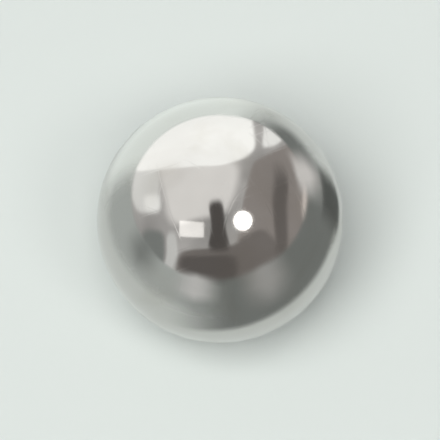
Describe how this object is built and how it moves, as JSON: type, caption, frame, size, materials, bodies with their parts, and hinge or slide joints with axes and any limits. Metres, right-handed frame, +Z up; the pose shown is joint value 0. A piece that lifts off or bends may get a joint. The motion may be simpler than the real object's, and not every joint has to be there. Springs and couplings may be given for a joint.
{
  "type": "steel ball",
  "caption": "Solid polished steel ball, a true sphere with a mirror finish, for a ball bearing, a check valve, a detent or as a small weight.",
  "frame": {"origin": "centre of the ball", "axes": "+Z up; the ball is a sphere, so every line through the origin is an axis of symmetry and X, Y and Z are alike"},
  "size_m": [0.006, 0.006, 0.006],
  "materials": {
    "polished_steel": "polished"
  },
  "bodies": {
    "root": {"ball": "polished_steel"}
  },
  "joints": []
}
